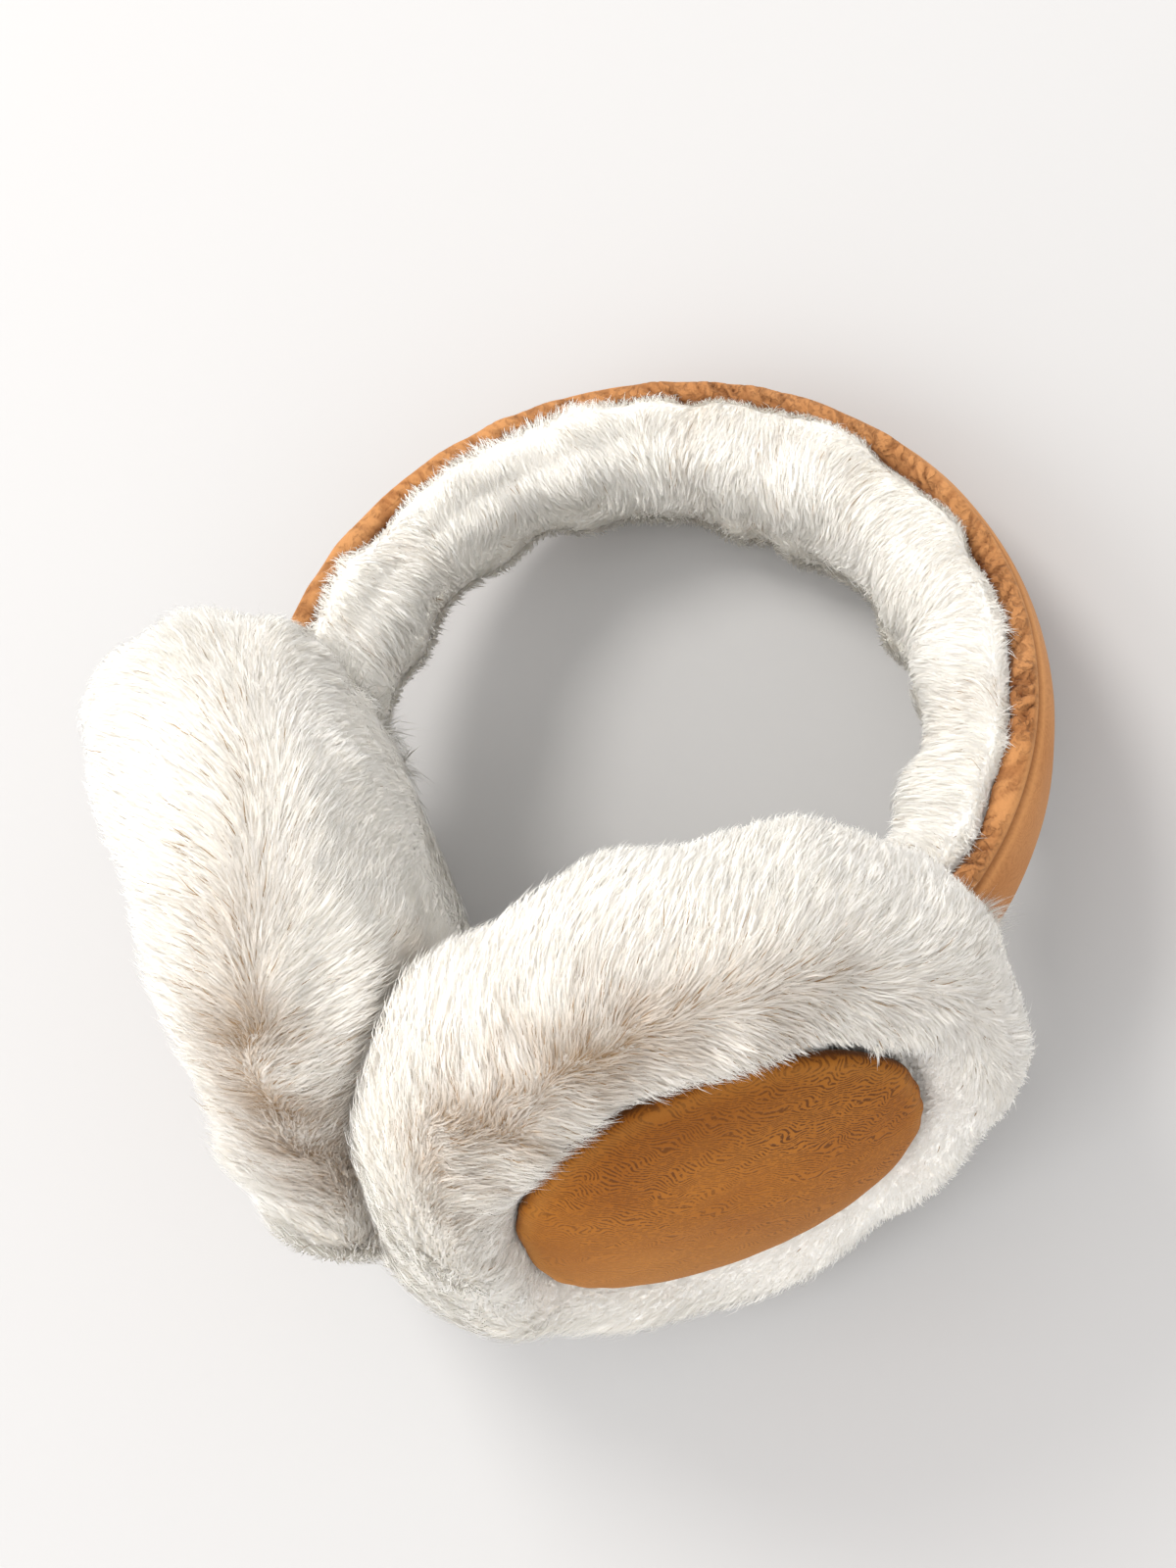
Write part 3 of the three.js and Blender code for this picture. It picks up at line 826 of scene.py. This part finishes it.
# Half section of the suede cover, from the middle of its face over a seam and the rolled rim to the inside.
# roll is the share of the rim's crumpling that a point follows, seam the share of the seam's shadow.
COVER_SECTION = np.array(
    [
        # deep, side, roll, seam
        (0.0, 0.0, 0.0, 0.0),
        (0.08, 3.0, 0.0, 0.0),
        (0.4, 6.0, 0.0, 0.0),
        (1.0, 8.6, 0.0, 0.0),
        (1.9, 10.6, 0.0, 0.1),
        (3.0, 11.6, 0.05, 1.0),
        (2.9, 12.5, 0.2, 0.4),
        (3.2, 13.4, 0.5, 0.0),
        (3.9, 14.2, 0.85, 0.0),
        (5.4, 14.3, 1.0, 0.0),
        (6.9, 13.8, 1.0, 0.0),
        (7.9, 12.8, 1.0, 0.2),
        (8.2, 11.7, 0.7, 0.6),
        (7.5, 10.9, 0.2, 1.0),
        (3.6, 10.6, 0.0, 1.0),
        (2.5, 9.2, 0.0, 0.5),
        (2.1, 0.0, 0.0, 0.0),
    ]
)
# How crumpled the rolled rim is, by the turn round the arch in degrees. Beside one ear it is smooth.
CRUMPLED = (
    (-112, 0.5),
    (-60, 0.4),
    (-15, 0.9),
    (35, 0.6),
    (60, 0.9),
    (72, 1.2),
    (79, 0.35),
    (88, 0.35),
    (94, 1.2),
    (112, 1.0),
)
# The middle of the roll's own section, below the arch's face and out from its middle.
ROLL_DEEP = 5.0
ROLL_SIDE = 11.8
# The turn round the arch where the roll goes smooth into the cups.
SMOOTH_FROM = math.radians(92)
SMOOTH_AT = math.radians(100)
COVER_ROWS = (800, 450)
COVER_STEPS = 3


def crumple(turn, around, seed):
    """Creases of crushed suede, up to 1 along them, and its slow puffs. around is the way across it."""
    along = ARCH_HALF_WIDTH * turn
    creases = np.empty(turn.size)
    puffs = np.empty(turn.size)
    for i, (a, b) in enumerate(zip(along.ravel(), around.ravel())):
        skew = a + 0.6 * b + 3 * noise.noise(Vector((a / 7, b / 7, seed + 5)))
        place = Vector((skew / 3.8, b / 9, seed))
        creases[i] = noise.ridged_multi_fractal(place, 0.9, 2.2, 3, 1.0, 2.0)
        puffs[i] = noise.noise(Vector((a / 8, b / 12, seed + 9)))
    creases = np.clip((creases - 0.9) / 1.0, 0, 1) ** 1.5
    return creases.reshape(turn.shape), puffs.reshape(turn.shape)


def crushed(turn, deep, side, roll, swell):
    """The section with its roll moved in and out from the roll's own middle, and dents in the face."""
    away_deep, away_side = deep - ROLL_DEEP, np.abs(side) - ROLL_SIDE
    reach = np.maximum(np.hypot(away_deep, away_side), 1e-6)
    dents = 0.1 * np.sin(6 * turn + 0.4 * side) + 0.06 * np.sin(19 * turn - 0.3 * side)
    face = (deep < 1.6) * (1 - roll)
    moved_deep = deep + swell * away_deep / reach * roll + np.clip(dents, -0.12, 0.15) * face
    return moved_deep, side + np.sign(side) * swell * away_side / reach * roll


def paint_cover(mesh, section, deep, roll, rough, creases):
    """Painted highlight on the smooth roll and along the face's edge, painted shade in the creases, over
    the roll and in the seam.
    """
    # Painted highlight on the smooth parts of the roll and along the face's edge.
    worn_pose_and_painted_highlight = 0.5 * roll * smoothstep(0.3, 0.0, creases) * smoothstep(0.9, 0.4, rough)
    shoulder = smoothstep(9.5, 10.8, np.abs(section[:, 1])) * smoothstep(3.6, 3.0, section[:, 0])
    edge = 0.45 * shoulder * (1 - section[:, 3])
    set_attribute(mesh, "worn_pose_and_painted_highlight", np.clip(worn_pose_and_painted_highlight + edge, 0, 1).ravel())
    seam = np.clip(section[:, 3], 0, 1)
    # Painted shade in the creases, over the whole roll, on its inner side and in the seam.
    dark = rough * creases + 0.18 * roll + 0.5 * seam + 0.35 * smoothstep(6.5, 8, deep) * roll
    set_attribute(mesh, "painted_shade", np.clip(dark, 0, 1).ravel())
    set_attribute(mesh, "roll", np.clip(roll * rough, 0, 1).ravel())
    set_attribute(mesh, "nap", np.full(roll.size, 0.15))


def cover():
    front = COVER_SECTION[1:-1][::-1] * np.array([1, -1, 1, 1])
    # Rounded by going through the section's points on a closed curve.
    fine = closed_curve(np.concatenate([COVER_SECTION, front]), COVER_STEPS)
    turns = np.linspace(-ARCH_END, ARCH_END, COVER_ROWS[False])
    turn, deep = np.meshgrid(turns, fine[:, 0], indexing="ij")
    side = np.broadcast_to(fine[:, 1], turn.shape)
    roll = np.broadcast_to(np.clip(fine[:, 2], 0, 1), turn.shape)
    steps = np.linalg.norm(np.diff(fine[:, :2], axis=0, append=fine[:1, :2]), axis=1)
    around = np.broadcast_to(np.cumsum(steps), turn.shape)
    rough = np.interp(np.degrees(turn), *zip(*CRUMPLED))
    creases, puffs = crumple(turn, around, 3.7)
    creases = creases * roll
    open_part = 1 - smoothstep(SMOOTH_FROM, SMOOTH_AT, np.abs(turn))
    swell = open_part * roll * (1.3 * puffs - 2.0 * rough * creases)
    deep, side = crushed(turn, deep, side, roll, swell)
    points = on_arch(turn, deep, side)
    points[..., 2] = np.maximum(points[..., 2], SUEDE_LOWEST)
    mesh = grid_mesh("suede_cover", points)
    paint_cover(mesh, fine, deep, roll, rough, creases)
    piece = new_object("suede_cover", mesh, BAND)
    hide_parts("headband_cover")
    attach(piece, "root")


def closed_curve(points, steps):
    """A smooth closed curve through points, steps to each span (Catmull-Rom)."""
    before, after = np.roll(points, 1, 0), np.roll(points, -1, 0)
    second = np.roll(points, -2, 0)
    t = (np.arange(steps) / steps)[None, :, None]
    p0, p1, p2, p3 = (p[:, None] for p in (before, points, after, second))
    curve = p1 + 0.5 * t * (p2 - p0 + t * (2 * p0 - 5 * p1 + 4 * p2 - p3 + t * (3 * (p1 - p2) + p3 - p0)))
    return curve.reshape(-1, points.shape[1])


# Suede patches: the section of a low dome with a turned-under edge.
PATCH_SECTION = np.array(
    [
        # share of the radius, height along the cup's normal
        (0.0, 14.6),
        (0.93, 14.6),
        (0.975, 15.2),
        (0.995, 16.2),
        (1.0, 17.2),
        (0.99, 18.3),
        (0.96, 19.2),
        (0.9, 20.2),
        (0.8, 21.4),
        (0.66, 22.6),
        (0.5, 23.4),
        (0.34, 24.0),
        (0.15, 24.35),
        (0.0, 24.4),
    ]
)
# Columns round the patch, and rows to each point of the section.
PATCH_COLUMNS = 200
PATCH_ROWS_PER_POINT = 3


def patch_section():
    """The patch's section in fine rows, rounded: its shares of the radius and its heights."""
    rows = len(PATCH_SECTION)
    at = np.linspace(0, rows - 1, PATCH_ROWS_PER_POINT * rows)
    share = np.interp(at, np.arange(rows), PATCH_SECTION[:, 0])
    high = np.interp(at, np.arange(rows), PATCH_SECTION[:, 1])
    for _ in range(2):
        share[1:-1] = (share[:-2] + 2 * share[1:-1] + share[2:]) / 4
        high[1:-1] = (high[:-2] + 2 * high[1:-1] + high[2:]) / 4
    return share, high


def patch_points(side, share, turn, high):
    """The dome's points, its edge drawn in by a hidden seam in small uneven tucks."""
    tucks = 0.004 * np.sin(23 * turn + 2 * np.sin(5 * turn)) * smoothstep(0.8, 1.0, share)
    soft = 0.35 * np.sin(2 * turn + 0.7) * (share * (1 - share) * 4) * (high > 18)
    axes = cup_directions(side)
    from_top = np.where(turn > math.pi, turn - 2 * math.pi, turn)
    spread = PATCH_SPREAD * bare_sector(from_top) - PATCH_DRAWN_IN * covered_sector(from_top)
    reach = share * (1 + tucks + spread * smoothstep(0.6, 1.0, share))
    centre = laid(CUP_CENTRE * np.array([side, 1, 1]))
    return (
        centre
        + (PATCH_RADIUS * reach * np.cos(turn))[..., None] * axes[0] * MM
        + (PATCH_HALF_DEPTH * reach * np.sin(turn))[..., None] * axes[1] * MM
        + (high + soft)[..., None] * axes[2] * MM
    )


def patch_looks(share, turn, high):
    """How much painted highlight and painted shade the patch has, and how napped it is."""
    # Painted highlight towards its lower rim and on top of its rolled edge, painted shade under the fur of
    # its upper rim and under its turned-in seam.
    lower = smoothstep(-0.2, 0.9, share * np.sin(turn - 0.5))
    worn_pose_and_painted_highlight = 0.35 * lower + 0.3 * smoothstep(0.9, 0.99, share) * smoothstep(17.6, 19.0, high)
    dark = 0.32 * smoothstep(0.3, 1.0, -share * np.sin(turn - 0.3)) + smoothstep(17.8, 16.0, high)
    # The nap stands darkest at the front of the upper rim.
    nap = 0.75 + 0.25 * bell(turn - 5.2, 0.8) * smoothstep(0.2, 0.7, share)
    return (("worn_pose_and_painted_highlight", worn_pose_and_painted_highlight), ("painted_shade", dark), ("nap", nap))


def patch(side, name):
    share, high = patch_section()
    turn = np.linspace(0, 2 * math.pi, PATCH_COLUMNS, endpoint=False)
    share, turn = np.meshgrid(share, turn, indexing="ij")
    high = np.broadcast_to(high[:, None], share.shape)
    points = patch_points(side, share, turn, high)
    if side < 0:
        points = points[:, ::-1]
    mesh = grid_mesh(f"suede_patch_{name}", points)
    for attribute, values in patch_looks(share, turn, high):
        set_attribute(mesh, attribute, np.clip(values if side > 0 else values[:, ::-1], 0, 1).ravel())
    piece = new_object(f"suede_patch_{name}", mesh, PATCH)
    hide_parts(f"ear_patch_{name}")
    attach(piece, "root")


FUR = fur_material("fur_hair", FUR_TIP, FUR_ROOT_TONE_AND_SHADE, FUR_SHADED)
UNDERFUR = under_fur_material("fur_under", FUR_TIP, FUR_ROOT_TONE_AND_SHADE, FUR_SHADED)
PATCH = suede_material("suede_patch", PATCH_SUEDE, 0.0)
BAND = suede_material("suede_band", BAND_SUEDE, 0.35)

cup(1, "right")
cup(-1, "left")
lining()
cover()
patch(1, "right")
patch(-1, "left")


# Stage: a plain pale floor, and soft light from beyond the upper left.
FLOOR_HALF_SIZE = 4.0
KEY_POWER = 15.0
FILL_POWER = 14.0
SKY_STRENGTH = 1.36
LIT_PLACE = Vector((0, 0, 0.05))


def add_floor():
    corners = np.array([(-1, -1, 0), (1, -1, 0), (1, 1, 0), (-1, 1, 0)]) * FLOOR_HALF_SIZE
    mesh = mesh_of("floor", corners, np.arange(4), np.array([4]))
    n = Nodes("floor")
    n.surface(Base_Color=(0.46, 0.45, 0.44, 1), Roughness=0.9)
    new_object("floor", mesh, n.material)


def add_light(name, direction, distance, size, power, colour):
    data = bpy.data.lights.new(name, "AREA")
    data.shape = "DISK"
    data.size = size
    data.energy = power
    data.color = colour
    light = bpy.data.objects.new(name, data)
    scene.collection.objects.link(light)
    direction = direction.normalized()
    light.location = LIT_PLACE + direction * distance
    light.rotation_mode = "QUATERNION"
    light.rotation_quaternion = direction.to_track_quat("Z", "Y")


def add_lights():
    key = CAMERA_UP * 0.65 - CAMERA_RIGHT * 0.65 + camera_back * 0.6
    fill = camera_back * 0.5 - CAMERA_UP * 0.3 - CAMERA_RIGHT
    add_light("key", key, 1.6, 0.6, KEY_POWER, (1.0, 0.985, 0.96))
    add_light("fill", fill, 1.8, 1.6, FILL_POWER, (0.99, 0.99, 1.0))
    world = bpy.data.worlds.new("world")
    scene.world = world
    world.use_nodes = True
    background = world.node_tree.nodes["Background"]
    background.inputs["Color"].default_value = (0.98, 0.985, 1.0, 1)
    background.inputs["Strength"].default_value = SKY_STRENGTH


add_floor()
add_lights()
scene.view_settings.view_transform = "Standard"
